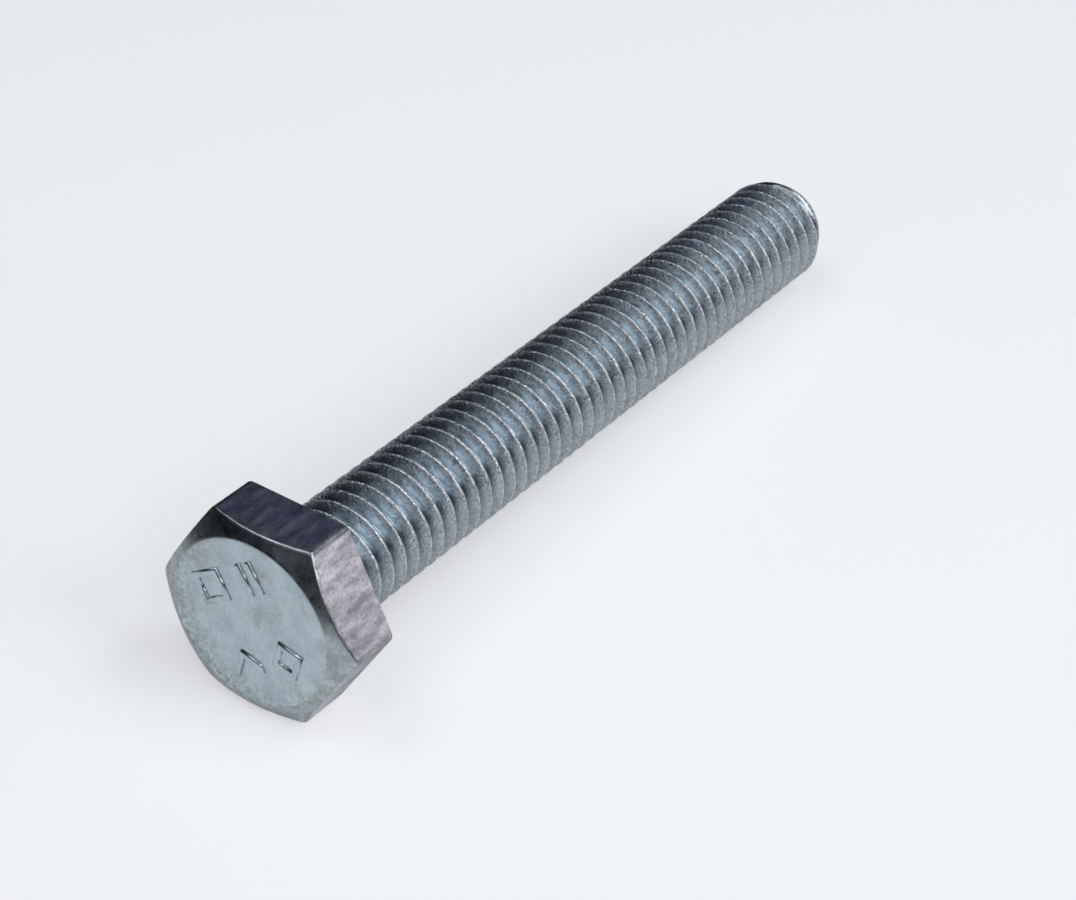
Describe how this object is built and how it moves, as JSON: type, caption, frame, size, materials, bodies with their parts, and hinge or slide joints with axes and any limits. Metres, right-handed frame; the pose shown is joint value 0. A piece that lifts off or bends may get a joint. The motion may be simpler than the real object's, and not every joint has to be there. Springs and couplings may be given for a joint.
{
  "type": "hexagon head screw",
  "caption": "Zinc-plated hexagon head screw, threaded up to the head, with a chamfered point.",
  "frame": {"origin": "centre of the bearing face under the head, on the shank's axis", "axes": "+Y along the shank towards the point, so the marked end of the head looks along -Y; +Z square to one flat of the hexagon"},
  "size_m": [0.0112, 0.0483, 0.0098],
  "materials": {
    "zinc_steel": "satin, bright zinc plating with a faint blue cast"
  },
  "bodies": {
    "root": {"hex_bolt": "zinc_steel"}
  },
  "joints": []
}
